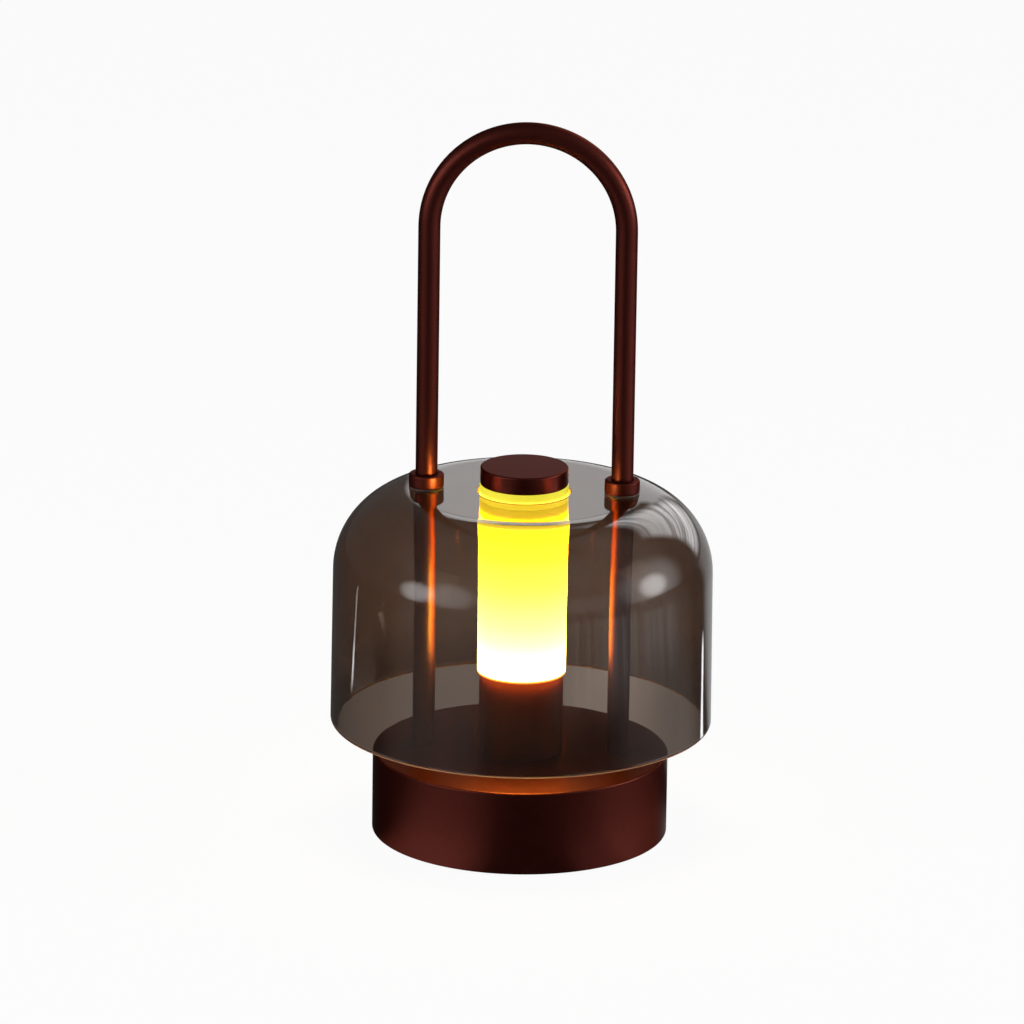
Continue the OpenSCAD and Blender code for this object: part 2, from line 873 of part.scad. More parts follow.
base_shell();
bottom_cover();
cover_screws();
foot_ring();
ballast_plate();
battery_tray();
tray_screws();
battery_cells();
battery_pad();
battery_lead();
board_bracket();
bracket_screws();
control_board();
board_components();
charging_socket();
switch_body();
switch_plunger();
power_button();
stem_tube();
stem_nipple();
nipple_nuts();
nipple_washer();
led_carrier();
led_board();
led_emitters();
led_lead();
diffuser_tube();
cap_seal();
top_cap();
post_left();
post_right();
tie_rods();
tie_nuts();
tie_washers();
lower_washers();
upper_grommets();
collar_left();
collar_right();
handle();
glass_shade();
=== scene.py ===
# %% [markdown]
# # A lantern table lamp
# The lamp has a round metal base, a smoked glass bell that rests on two posts, a lit
# tube in the middle and a tall bent handle. Its construction comes with the packed
# model. This lesson dresses it: it models the pieces that show again with fine edges,
# mixes their finishes, and lights them in a plain pale studio.

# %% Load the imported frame
import json
from math import cos, pi, radians, sin

import bmesh
import bpy
from mathutils import Matrix, Vector


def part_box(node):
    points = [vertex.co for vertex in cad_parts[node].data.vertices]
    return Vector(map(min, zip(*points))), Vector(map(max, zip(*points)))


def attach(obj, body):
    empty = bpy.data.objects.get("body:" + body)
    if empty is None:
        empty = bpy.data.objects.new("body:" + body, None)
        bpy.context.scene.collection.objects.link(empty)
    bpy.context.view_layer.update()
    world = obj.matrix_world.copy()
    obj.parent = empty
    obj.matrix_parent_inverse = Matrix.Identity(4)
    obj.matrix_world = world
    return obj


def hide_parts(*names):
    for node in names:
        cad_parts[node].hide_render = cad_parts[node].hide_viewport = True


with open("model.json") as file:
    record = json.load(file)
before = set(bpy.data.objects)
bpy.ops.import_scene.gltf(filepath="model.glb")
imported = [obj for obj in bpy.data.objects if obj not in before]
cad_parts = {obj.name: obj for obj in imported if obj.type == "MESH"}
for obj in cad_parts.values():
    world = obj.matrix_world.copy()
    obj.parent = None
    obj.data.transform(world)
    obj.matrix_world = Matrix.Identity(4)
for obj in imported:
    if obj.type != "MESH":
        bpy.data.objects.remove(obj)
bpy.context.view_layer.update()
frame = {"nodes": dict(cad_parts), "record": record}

nodes = frame["nodes"]

# %% [markdown]
# ## Sizes
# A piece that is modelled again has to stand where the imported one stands, so its outer
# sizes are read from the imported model's boxes. What a box can't tell, such as a bore or
# a rounding, is a number beside the piece. Sizes are in millimetres and become metres,
# Blender's unit, when a mesh is made.

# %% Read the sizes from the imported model
MM = 0.001


def low_side(node, axis):
    """Where the box of a node begins on the x, y or z axis, in mm."""
    return round(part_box(node)[0]["xyz".index(axis)] / MM, 2)


def high_side(node, axis):
    """Where the box of a node ends on the x, y or z axis, in mm."""
    return round(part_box(node)[1]["xyz".index(axis)] / MM, 2)


base_top = high_side("base_shell", "z")
stem_r = high_side("stem_tube", "x")
stem_top = high_side("stem_tube", "z")
tube_r = high_side("diffuser_tube", "x")
tube_top = high_side("diffuser_tube", "z")
cap_r = high_side("top_cap", "x")
cap_top = high_side("top_cap", "z")
spigot_low = low_side("top_cap", "z")
leg_x = (low_side("post_right", "x") + high_side("post_right", "x")) / 2
rod_r = high_side("post_right", "x") - leg_x
post_top = high_side("post_right", "z")
collar_r = high_side("collar_right", "x") - leg_x
collar_low = low_side("collar_right", "z")
collar_high = high_side("collar_right", "z")
washer_r = high_side("lower_washers", "x") - leg_x
handle_low = low_side("handle", "z")
handle_high = high_side("handle", "z")
bell_r = high_side("glass_shade", "x")
bell_low = low_side("glass_shade", "z")
bell_top = high_side("glass_shade", "z")
print("bell", bell_r, "mm in radius, handle up to", handle_high, "mm")

# %% [markdown]
# ## Camera
# A long lens flattens a product picture, so that upright walls stay upright. The
# camera stands 3.8 m away and looks down by 17 degrees, a little from the right and a
# little rolled. A camera could be aimed with a Track To constraint, but a matrix made
# of its three axes also takes the roll, and shows how a camera's frame works.

# %% Place the camera
target = Vector((0, 0, 0.161))
elevation, azimuth, roll = radians(16.81), radians(3.7), radians(0.85)
distance = 3.8425
lens_mm = 297.84
slide_right, slide_up = -0.00549, -0.0088

back = Vector((sin(azimuth) * cos(elevation), -cos(azimuth) * cos(elevation), sin(elevation)))
level = Vector((cos(azimuth), sin(azimuth), 0))
upright = back.cross(level)
right = cos(roll) * level + sin(roll) * upright
up = cos(roll) * upright - sin(roll) * level

camera = bpy.data.objects.new("camera", bpy.data.cameras.new("camera"))
bpy.context.scene.collection.objects.link(camera)
camera.data.lens = lens_mm
camera.data.sensor_width = 36
camera.data.clip_end = 60
place = target + back * distance + right * slide_right + up * slide_up
camera.matrix_world = Matrix((right, up, back)).transposed().to_4x4()
camera.location = place
bpy.context.scene.camera = camera
print("camera at", [round(v, 3) for v in place])

# %% [markdown]
# ## Shader maths
# A finish is a graph of nodes. Wiring each Math node by hand takes four lines, so one
# small class wraps an output socket: adding or multiplying two of them makes the node.
# Every other node comes from its one method, which takes the node's type, its settings
# and what goes into its sockets.

# %% The signal class
class Signal:
    """An output socket that Python maths can use."""

    def __init__(self, tree, socket=None):
        self.tree = tree
        self.socket = socket

    def node(self, kind, settings=None, inputs=None, output=0):
        made = self.tree.nodes.new("ShaderNode" + kind)
        for name, value in (settings or {}).items():
            if name != "stops":
                setattr(made, name, value)
                continue
            ramp = made.color_ramp
            while len(ramp.elements) < len(value):
                ramp.elements.new(0.5)
            for stop, (position, colour) in zip(ramp.elements, value):
                stop.position = position
                stop.color = tint(colour)
        for name, value in (inputs or {}).items():
            if isinstance(value, Signal):
                self.tree.links.new(value.socket, made.inputs[name])
            else:
                made.inputs[name].default_value = value
        return Signal(self.tree, made.outputs[output])

    def math(self, operation, *values):
        return self.node("Math", {"operation": operation}, dict(enumerate(values)))

    def __add__(self, other):
        return self.math("ADD", self, other)

    def __sub__(self, other):
        return self.math("SUBTRACT", self, other)

    def __rsub__(self, other):
        return self.math("SUBTRACT", other, self)

    def __mul__(self, other):
        return self.math("MULTIPLY", self, other)

    def __truediv__(self, other):
        return self.math("DIVIDE", self, other)

    __radd__ = __add__
    __rmul__ = __mul__


def tint(colour):
    return (*colour[:3], 1.0)


def fresh(name):
    """A new material with an empty tree, and a signal to build it with."""
    material = bpy.data.materials.new(name)
    material.use_nodes = True
    material.node_tree.nodes.clear()
    return material, Signal(material.node_tree)


# %% [markdown]
# Most finishes need the same few things: the place on the piece, a noise at some
# grain, a soft step between two values, and a mix of two colours. Each gets a short
# name here. Places are Object coordinates in metres, so a grain has a real size.

# %% Small helpers for finishes
def spot(start, stretch=(1, 1, 1)):
    place = start.node("TexCoord", output="Object")
    return start.node("Mapping", inputs={"Vector": place, "Scale": stretch})


def grain(start, size_mm, detail=2.0, stretch=(1, 1, 1), rough=0.5):
    """Noise between 0 and 1, with lumps of about that size."""
    return start.node("TexNoise", inputs={
        "Vector": spot(start, stretch), "Scale": 1 / (size_mm * MM),
        "Detail": detail, "Roughness": rough}, output="Fac")


def step(value, low, high, out_low=0.0, out_high=1.0):
    """A soft step: out_low below low, out_high above high."""
    return value.node("MapRange", {"interpolation_type": "SMOOTHSTEP"}, {
        "Value": value, "From Min": low, "From Max": high,
        "To Min": out_low, "To Max": out_high})


def mix(factor, low, high):
    """The colour low where the factor is 0, and high where it is 1."""
    return factor.node("Mix", {"data_type": "RGBA"}, {
        0: factor, 6: tint(low), 7: tint(high)}, output=2)


def bump(height, depth_mm, strength=1.0):
    return height.node("Bump", inputs={
        "Height": height, "Distance": depth_mm * MM, "Strength": strength})


def height_on(start):
    """The height of the place on the piece, in metres."""
    place = start.node("TexCoord", output="Object")
    return start.node("SeparateXYZ", inputs={"Vector": place}, output="Z")


def output(start, surface, volume=None):
    """Joins a shader, and a volume if there is one, to the material's output."""
    tail = start.tree.nodes.new("ShaderNodeOutputMaterial")
    start.tree.links.new(surface.socket, tail.inputs["Surface"])
    if volume is not None:
        start.tree.links.new(volume.socket, tail.inputs["Volume"])


def coat(start, **sockets):
    """The main shader, with each of its sockets by name, joined to the output."""
    output(start, start.node("BsdfPrincipled", inputs={
        name.replace("_", " "): value for name, value in sockets.items()}))


print("helpers", [helper.__name__ for helper in (spot, grain, step, mix, bump, coat)])

# %% [markdown]
# ## Bronze paint
# Base, stem, cap, posts, collars and handle share one satin coat: a very dark
# red-brown with a metallic glint. A flat colour would look like plastic. The coat has
# fine flakes that turn the glint a little, a faint orange peel from the spray gun, and
# slow changes of tone over the piece. Metal whitens at low glances, but this pigment
# lies over the flakes, so the specular tint holds the edges dark. The rods have finer
# flakes than the castings, and a coat that is a little softer.

# %% Mix the bronze paint
def bronze_paint(name, body, roughness, flake_mm=0.35):
    material, start = fresh(name)
    cloud = grain(start, 38, 3)
    flake = start.node("TexVoronoi", {"feature": "F1"}, {
        "Vector": spot(start), "Scale": 1 / (flake_mm * MM)}, output="Color")
    flake = start.node("SeparateColor", inputs={"Color": flake})
    peel = grain(start, 1.5, 2)
    dust = step(grain(start, 9, 5, rough=0.7), 0.55, 0.8)
    deep = tuple(v * 0.82 for v in body)
    glint = tuple(v * 1.22 for v in body)
    tone = mix(0.55 * cloud + 0.45 * flake, deep, glint)
    coat(start,
         Base_Color=tone,
         Metallic=0.97 - 0.06 * dust,
         Roughness=roughness + 0.05 * cloud + 0.04 * dust + 0.03 * flake,
         IOR=1.45,
         Specular_Tint=tint((0.38, 0.42, 0.42)),
         Normal=bump(peel + 0.35 * flake, 0.006, 0.5))
    return material


burgundy = (0.118, 0.0235, 0.0175)
finish = {
    "cast_bronze": bronze_paint("cast_bronze_paint", burgundy, 0.3),
    "bronze_metal": bronze_paint("bronze_rod_paint", burgundy, 0.37, 0.28),
}
print("bronze paints", len(finish))

# %% [markdown]
# ## Smoked glass
# Real glass is clear at its faces and takes its colour inside, so thick and slanting
# parts look darker. That is what Volume Absorption does between two closed walls.
# Lamps and shadows would stop at such glass, since a path tracer can't aim through a
# bent ray, so shadow rays see a Transparent shader instead, and the volume still tints
# them. Slow waves from the blowing bend the reflections a little, and a thin haze with
# upright streaks, as a wiped glass keeps, catches the glow of the tube. Two places are
# cut after blowing: the rim is ground, so it shows as a thin matt line, and so is the
# edge of the hole for the tube, which scatters the tube's light.

# %% Mix the smoked glass
ground_rim_z = (bell_low + 0.8) * MM
ground_hole_r = 21.2 * MM
ground_fade = 0.5 * MM
smoke_colour = (0.252, 0.111, 0.0)
smoke_density = 540.0


def smoked_glass(name):
    material, start = fresh(name)
    wave = grain(start, 34, 1.5, (1, 1, 0.35))
    ripple = grain(start, 13, 1, (1, 1, 0.5))
    rim = 1 - step(height_on(start), ground_rim_z, ground_rim_z + ground_fade)
    from_axis = start.node("VectorMath", {"operation": "LENGTH"}, {
        0: spot(start, (1, 1, 0))}, output="Value")
    hole = 1 - step(from_axis, ground_hole_r, ground_hole_r + 0.8 * ground_fade)
    glass = start.node("BsdfPrincipled", inputs={
        "Base Color": tint((1, 1, 1)), "Roughness": 0.012 + 0.2 * hole, "IOR": 1.55,
        "Transmission Weight": 1.0,
        "Normal": bump(wave + 0.25 * ripple, 0.35, 0.4)})
    haze_colour = tint((0.9, 0.45, 0.3))
    streak = grain(start, 5, 3, (1, 1, 0.03), 0.6)
    smear = step(0.6 * streak + 0.4 * grain(start, 22, 2), 0.35, 0.65, 0.002, 0.009)
    haze = start.node("MixShader", inputs={
        0: 0.5,
        1: start.node("BsdfDiffuse", inputs={"Color": haze_colour}),
        2: start.node("BsdfTranslucent", inputs={"Color": haze_colour})})
    glass = start.node("MixShader", inputs={0: smear + 0.6 * hole, 1: glass, 2: haze})
    ground = start.node("BsdfDiffuse", inputs={"Color": tint((0.34, 0.16, 0.085))})
    glass = start.node("MixShader", inputs={0: 0.94 * rim, 1: glass, 2: ground})
    veil = start.node("BsdfTransparent", inputs={"Color": tint((0.93, 0.93, 0.93))})
    shadow = start.node("LightPath", output="Is Shadow Ray")
    both = start.node("MixShader", inputs={0: shadow, 1: glass, 2: veil})
    smoke = start.node("VolumeAbsorption", inputs={
        "Color": tint(smoke_colour), "Density": smoke_density})
    output(start, both, smoke)
    return material


finish["smoked_glass"] = smoked_glass("smoked_glass_blown")
print("glass nodes", len(finish["smoked_glass"].node_tree.nodes))

# %% [markdown]
# ## Lit tube
# The tube is frosted acrylic with the light source under it. It is white hot at the
# bottom and falls to a clear yellow. From where the cap's spigot hangs in it, it is
# dimmer, and behind the spigot's end nearly dark. A ramp over the height carries that
# fall in the emission colour, while the strength stays one number.

# %% Mix the lit tube
tube_length = tube_top - stem_top
tube_strength = 48.0
tube_light = [
    # height in mm, light as red, green, blue
    (76.5, (5.0, 1.1, 0.1)),
    (77.2, (9.0, 3.0, 0.4)),
    (78.0, (32, 31, 11)),
    (89, (34, 34, 7)),
    (95, (35, 35, 4.5)),
    (103, (36, 34, 2.7)),
    (112, (38, 33, 1.5)),
    (120, (41, 31, 0.8)),
    (135, (44, 28, 0.27)),
    (150, (46, 25, 0.15)),
    (152.5, (7.4, 6.4, 0.33)),
    (155.5, (6.0, 5.5, 0.25)),
    (161, (5.6, 5.0, 0.25)),
    (162.3, (0.5, 0.5, 0.01)),
    (165.5, (0.45, 0.42, 0.01)),
]


def lit_tube(name):
    material, start = fresh(name)
    along = (height_on(start) - stem_top * MM) / (tube_length * MM)
    stops = [((mm - stem_top) / tube_length, [v / tube_strength for v in light])
             for mm, light in tube_light]
    glow = start.node("ValToRGB", {"stops": stops}, {"Fac": along})
    frost = grain(start, 0.6, 2)
    coat(start,
         Base_Color=mix(frost, (0.62, 0.5, 0.055), (0.7, 0.56, 0.07)),
         Roughness=0.42 + 0.12 * frost,
         IOR=1.49,
         Emission_Color=glow,
         Emission_Strength=tube_strength,
         Normal=bump(frost, 0.004, 0.4))
    return material


finish["diffuser_opal"] = lit_tube("frosted_tube_lit")
print("stops of the tube's light", len(tube_light))

# %% [markdown]
# ## Plain finishes
# The soft, plated and moulded pieces are small or hidden, but a lamp that is taken
# apart still has to look right. One function covers them: a tone that drifts between
# two near colours, a roughness that follows the grain, and a shallow relief.

# %% Mix the plain finishes
def plain(name, low, high, roughness, grain_mm, relief_mm=0.004, metal=0.0,
          stretch=(1, 1, 1), **sockets):
    material, start = fresh(name)
    fine = grain(start, grain_mm, 3, stretch)
    slow = grain(start, grain_mm * 14, 2)
    coat(start,
         Base_Color=mix(0.6 * slow + 0.4 * fine, low, high),
         Metallic=metal,
         Roughness=roughness + 0.12 * fine - 0.05 * slow,
         Normal=bump(fine, relief_mm, 0.6),
         **sockets)
    return material


finish["silicone_smoke"] = plain(
    "silicone_soft", (0.05, 0.026, 0.02), (0.075, 0.04, 0.032), 0.34, 0.8, 0.003,
    Subsurface_Weight=0.25, Subsurface_Scale=0.002)
finish["foot_rubber"] = plain(
    "foot_rubber_black", (0.018, 0.018, 0.019), (0.034, 0.034, 0.036), 0.62, 0.5, 0.02)
finish["steel_zinc"] = plain(
    "zinc_plate", (0.46, 0.47, 0.49), (0.62, 0.62, 0.6), 0.24, 0.7, 0.002, 1.0)
finish["brass_turned"] = plain(
    "turned_brass", (0.56, 0.4, 0.17), (0.7, 0.52, 0.25), 0.2, 0.4, 0.002, 1.0, (1, 1, 8))
finish["aluminium_turned"] = plain(
    "turned_aluminium", (0.62, 0.63, 0.65), (0.78, 0.78, 0.79), 0.22, 0.4, 0.002, 1.0,
    (1, 1, 8))
finish["cover_black"] = plain(
    "powder_coat_black", (0.02, 0.02, 0.021), (0.036, 0.035, 0.036), 0.52, 0.45, 0.03)
finish["black_plastic"] = plain(
    "moulded_black", (0.022, 0.022, 0.024), (0.036, 0.036, 0.038), 0.46, 0.35, 0.012)
finish["cell_wrap"] = plain(
    "shrink_sleeve_blue", (0.055, 0.16, 0.28), (0.08, 0.2, 0.33), 0.24, 5.0, 0.01)
finish["foam_grey"] = plain(
    "foam_grey_closed", (0.07, 0.07, 0.076), (0.15, 0.15, 0.16), 0.85, 0.9, 0.25)
finish["lead_sheath"] = plain(
    "lead_sheath_black", (0.02, 0.02, 0.022), (0.035, 0.034, 0.036), 0.4, 0.6, 0.004)
finish["board_green"] = plain(
    "solder_mask_green", (0.008, 0.09, 0.04), (0.02, 0.17, 0.08), 0.22, 1.1, 0.012)
finish["board_white"] = plain(
    "solder_mask_white", (0.78, 0.77, 0.73), (0.86, 0.85, 0.82), 0.3, 1.3, 0.008)
finish["chip_mix"] = plain(
    "moulded_parts", (0.05, 0.05, 0.052), (0.12, 0.115, 0.105), 0.4, 0.4, 0.008)
finish["plunger_white"] = plain(
    "moulded_ivory", (0.68, 0.65, 0.58), (0.76, 0.73, 0.67), 0.36, 0.8, 0.004)
finish["led_phosphor"] = plain(
    "phosphor_yellow", (0.8, 0.52, 0.06), (0.9, 0.62, 0.1), 0.4, 0.25, 0.01,
    Emission_Color=tint((1.0, 0.72, 0.25)), Emission_Strength=20.0)
print("finishes", len(finish))

for row in frame["record"]["subparts"]:
    node = nodes[row["node"]]
    node.data.materials.clear()
    node.data.materials.append(finish[row["material_slot"]])

# %% [markdown]
# ## Turning a piece
# Nearly every metal piece of this lamp is turned on a lathe. So is its mesh: a few
# corners in the XZ plane make half the outline, each corner is rounded by a vertex
# bevel, and a full spin sweeps it. A Weighted Normal modifier then keeps the flats
# flat beside their small round edges.

# %% The lathe
SMOOTH_BELOW = radians(32)


def rounded_outline(bm, corners, closed):
    """Corners are (radius, height, rounding) in mm, joined by straight edges."""
    verts = [bm.verts.new((r * MM, 0, z * MM)) for r, z, _ in corners]
    for pair in zip(verts, verts[1:] + verts[:1] if closed else verts[1:]):
        bm.edges.new(pair)
    for vert, (_, _, rounding) in zip(verts, corners):
        if rounding:
            steps = max(4, min(40, int(rounding * 1.1) + 4))
            bmesh.ops.bevel(
                bm, geom=[vert], offset=rounding * MM, offset_type="OFFSET",
                segments=steps, profile=0.5, affect="VERTICES", clamp_overlap=False,
                material=-1)


def sweep(bm, steps):
    bmesh.ops.spin(
        bm, geom=bm.verts[:] + bm.edges[:], cent=(0, 0, 0), axis=(0, 0, 1),
        angle=2 * pi, steps=steps, use_merge=True)
    bmesh.ops.remove_doubles(bm, verts=bm.verts[:], dist=1e-7)


def settle(bm, name, slot_name, replaced):
    """Makes the piece, gives it its finish, and puts it on its body."""
    bmesh.ops.recalc_face_normals(bm, faces=bm.faces[:])
    mesh = bpy.data.meshes.new(name)
    bm.to_mesh(mesh)
    bm.free()
    mesh.shade_smooth()
    mesh.set_sharp_from_angle(angle=SMOOTH_BELOW)
    piece = bpy.data.objects.new(name, mesh)
    bpy.context.scene.collection.objects.link(piece)
    evener = piece.modifiers.new("even_normals", "WEIGHTED_NORMAL")
    evener.keep_sharp = True
    mesh.materials.append(finish[slot_name])
    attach(piece, "lamp")
    if replaced:
        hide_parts(*replaced)
    print(name, "faces", len(mesh.polygons), "size mm",
          [round(v / MM, 1) for v in piece.dimensions])


def turned(name, slot_name, replaced, corners, closed=False, steps=128, at_x=0):
    """A turned piece, round an upright axis at that x in mm."""
    bm = bmesh.new()
    rounded_outline(bm, corners, closed)
    sweep(bm, steps)
    bmesh.ops.translate(bm, verts=bm.verts[:], vec=(at_x * MM, 0, 0))
    settle(bm, name, slot_name, replaced)


# %% [markdown]
# ## Stem, cap and tube
# The stem is a plain turned tube, and the cap a disc with a spigot that drops into the
# lit tube. Their outlines are open where they end on the axis, and closed where they
# go round a wall. The cap's top edge catches a thin line of light, so its rounding is
# modelled and not left to a bump.

# %% Turn the stem, the tube and the cap
lead_hole_r = 5.2
stem_floor = base_top + 3
stem_bore_r = 16.05
lamp_seat_r = 17.5
lamp_seat = stem_top - 6
turned("stem", "cast_bronze", ["stem_tube"], [
    (lead_hole_r, base_top, 0), (stem_r, base_top, 0.25), (stem_r, stem_top, 0.35),
    (lamp_seat_r, stem_top, 0.2), (lamp_seat_r, lamp_seat, 0), (stem_bore_r, lamp_seat, 0),
    (stem_bore_r, stem_floor, 0.4), (lead_hole_r, stem_floor, 0.2)], closed=True)

tube_bore_r = 17.6
turned("lit_tube", "diffuser_opal", ["diffuser_tube"], [
    (tube_r, stem_top, 0.3), (tube_r, tube_top, 0.3), (tube_bore_r, tube_top, 0.3),
    (tube_bore_r, stem_top, 0.3)], closed=True, steps=160)

spigot_r = 17.3
spigot_bore_r = 15.3
cap_ceiling = cap_top - 4
groove_r = 16.3
groove_low, groove_high = 161.0, 163.2
turned("cap", "cast_bronze", ["top_cap"], [
    (0, cap_top, 0), (cap_r, cap_top, 0.8), (cap_r, tube_top, 0.5),
    (spigot_r, tube_top, 0.2), (spigot_r, groove_high, 0.15), (groove_r, groove_high, 0.15),
    (groove_r, groove_low, 0.15), (spigot_r, groove_low, 0.15), (spigot_r, spigot_low, 0.4),
    (spigot_bore_r, spigot_low, 0.3), (spigot_bore_r, cap_ceiling, 1.0),
    (0, cap_ceiling, 0)], steps=160)

# %% [markdown]
# ## Posts, collars and soft washers
# Each leg of the handle lands in a collar, the collar presses a soft grommet on the
# glass, and the glass rests on a washer on top of the post. The same outline serves
# both sides, so a loop turns each piece twice.

# %% Turn the clamped stack of both legs
bell_wall = 3.2
bell_under = bell_top - bell_wall
tie_hole_r = 3.2
seat_r = rod_r + 0.12
neck_r = 4.2
neck_low = bell_under + 0.5
washer_top = bell_under - 0.02

for side, sign in (("left", -1), ("right", 1)):
    at_x = sign * leg_x
    turned(f"post_{side}_rod", "bronze_metal", [f"post_{side}"], [
        (tie_hole_r, base_top, 0), (rod_r, base_top, 0.3), (rod_r, post_top, 0.4),
        (tie_hole_r, post_top, 0)], closed=True, steps=64, at_x=at_x)
    turned(f"collar_{side}_ring", "bronze_metal", [f"collar_{side}"], [
        (tie_hole_r, collar_low, 0), (collar_r, collar_low, 0.6),
        (collar_r, collar_high, 1.0), (seat_r, collar_high, 0.3), (seat_r, handle_low, 0),
        (tie_hole_r, handle_low, 0)], closed=True, steps=80, at_x=at_x)
    turned(f"grommet_{side}", "silicone_smoke",
           ["upper_grommets"] if side == "left" else [], [
               (tie_hole_r, neck_low, 0.1), (neck_r, neck_low, 0.2), (neck_r, bell_top, 0.1),
               (collar_r, bell_top, 0.25), (collar_r, collar_low, 0.3),
               (tie_hole_r, collar_low, 0)], closed=True, steps=64, at_x=at_x)
    turned(f"washer_{side}", "silicone_smoke",
           ["lower_washers"] if side == "left" else [], [
               (tie_hole_r, post_top, 0), (washer_r, post_top, 0.35),
               (washer_r, washer_top, 0.3), (tie_hole_r, washer_top, 0)],
           closed=True, steps=64, at_x=at_x)

# %% [markdown]
# ## Handle
# The handle is one rod, bent to a half circle. A curve with a round bevel would do,
# but a mesh made by the same moves as the real rod is closed and even: a circle is
# extruded up the first leg, spun round the bend, and extruded down the second leg.

# %% Bend the handle
arch_z = handle_high - rod_r - leg_x


def extrude_ring(bm, ring, offset):
    moved = bmesh.ops.extrude_edge_only(bm, edges=ring)["geom"]
    verts = [v for v in moved if isinstance(v, bmesh.types.BMVert)]
    bmesh.ops.translate(bm, verts=verts, vec=offset)
    return [e for e in moved if isinstance(e, bmesh.types.BMEdge)
            and all(v in verts for v in e.verts)]


bm = bmesh.new()
bmesh.ops.create_circle(
    bm, segments=56, radius=rod_r * MM,
    matrix=Matrix.Translation((-leg_x * MM, 0, handle_low * MM)))
ring = bm.edges[:]
leg_parts = 12
leg_step = (arch_z - handle_low) * MM / leg_parts
for _ in range(leg_parts):
    ring = extrude_ring(bm, ring, (0, 0, leg_step))
bend = bmesh.ops.spin(
    bm, geom=ring, cent=(0, 0, arch_z * MM), axis=(0, 1, 0), angle=pi, steps=96,
    use_merge=False)["geom_last"]
ring = [e for e in bend if isinstance(e, bmesh.types.BMEdge)]
for _ in range(leg_parts):
    ring = extrude_ring(bm, ring, (0, 0, -leg_step))
bmesh.ops.holes_fill(bm, edges=bm.edges[:], sides=0)
settle(bm, "handle_rod", "bronze_metal", ["handle"])

# %% [markdown]
# ## Glass bell
# The bell is blown, so its wall is even and its shoulder a true round. Its top is
# drilled for the tube and for both posts. The shoulder, wall and rim are spun from one
# outline. A spin can't leave holes off its axis, so the flat top is filled between
# circles, and the two skins of each hole are bridged. The middle hole has rounded
# edges, which take four more circles each.

# %% Blow the bell
shoulder_r = 37.2
flat_r = 48.88
shoulder = flat_r + shoulder_r
rim_r = 1.58
hole_r = 21.0
post_hole_r = 4.3
edge_r = 0.5
bell_steps = 192


def on_circle(edge, x, radius, z):
    centre = Vector((x, 0, z)) * MM
    return all(abs(v.co.z - centre.z) < 1e-6
               and abs((v.co - centre).length - radius * MM) < 1e-6 for v in edge.verts)


def hole_circle(bm, x, z, radius, steps):
    made = bmesh.ops.create_circle(
        bm, segments=steps, radius=radius * MM,
        matrix=Matrix.Translation((x * MM, 0, z * MM)))["verts"]
    return [e for e in bm.edges if all(v in made for v in e.verts)]


bm = bmesh.new()
rounded_outline(bm, [
    (flat_r, bell_top, 0), (shoulder, bell_top, shoulder_r), (bell_r, bell_low, rim_r),
    (bell_r - bell_wall, bell_low, rim_r),
    (shoulder - bell_wall, bell_under, shoulder_r - bell_wall), (flat_r, bell_under, 0)],
    closed=False)
sweep(bm, bell_steps)
for z in (bell_top, bell_under):
    outer = [e for e in bm.edges if e.is_boundary
             and all(abs(v.co.z - z * MM) < 1e-6 for v in e.verts)]
    rims = [hole_circle(bm, 0, z, hole_r + edge_r, bell_steps)]
    rims += [hole_circle(bm, sign * leg_x, z, post_hole_r, 48) for sign in (-1, 1)]
    bmesh.ops.triangle_fill(
        bm, use_beauty=True, use_dissolve=False,
        edges=outer + [e for rim in rims for e in rim])

quarter = [radians(turn) for turn in (22.5, 45, 67.5, 90)]
wall = [(hole_r + edge_r * (1 - sin(turn)), bell_top - edge_r * (1 - cos(turn)))
        for turn in quarter]
wall += [(radius, bell_top + bell_under - z) for radius, z in reversed(wall)]
last = [e for e in bm.edges if e.is_boundary and on_circle(e, 0, hole_r + edge_r, bell_top)]
for radius, z in wall:
    ring = hole_circle(bm, 0, z, radius, bell_steps)
    bmesh.ops.bridge_loops(bm, edges=last + ring)
    last = ring
end = [e for e in bm.edges if e.is_boundary and on_circle(e, 0, hole_r + edge_r, bell_under)]
bmesh.ops.bridge_loops(bm, edges=last + end)
for sign in (-1, 1):
    ends = [e for z in (bell_top, bell_under) for e in bm.edges
            if e.is_boundary and on_circle(e, sign * leg_x, post_hole_r, z)]
    bmesh.ops.bridge_loops(bm, edges=ends)
print("open edges of the bell", sum(e.is_boundary for e in bm.edges))
settle(bm, "glass_bell", "smoked_glass", ["glass_shade"])

# %% [markdown]
# ## Studio
# A product picture on white is a pale sweep with soft boxes. The floor is a plain pale
# disc. It shows as white to the camera and through glass, and keeps a small share of
# real diffuse light for the lamp's shadow. In a mirror a white room would be white all
# over, so reflections see a dark floor with soft patches and strips of light instead,
# as they would among the black cards and boxes of a real studio.

# %% Lay the floor
floor_radius = 9.0
bm = bmesh.new()
bmesh.ops.create_circle(bm, cap_ends=True, segments=96, radius=floor_radius)
floor_mesh = bpy.data.meshes.new("floor")
bm.to_mesh(floor_mesh)
bm.free()
floor = bpy.data.objects.new("floor", floor_mesh)
bpy.context.scene.collection.objects.link(floor)
print("floor radius", floor_radius)

# %% [markdown]
# Floor and world need the same few things: a direction, a soft patch of light round it,
# and masks for the kind of ray that asks. With such a mask, a Mix Shader gives each
# kind of ray its own light.

# %% Helpers for patches of light and kinds of ray
def bearing(degrees, rise=0.0):
    """A direction by its bearing from the front, to the right, and its rise."""
    a, e = radians(degrees), radians(rise)
    return (sin(a) * cos(e), -cos(a) * cos(e), sin(e))


def reach(vector, axis):
    """How far a vector reaches along an axis."""
    return vector.node("VectorMath", {"operation": "DOT_PRODUCT"}, {
        0: vector, 1: axis}, output="Value")


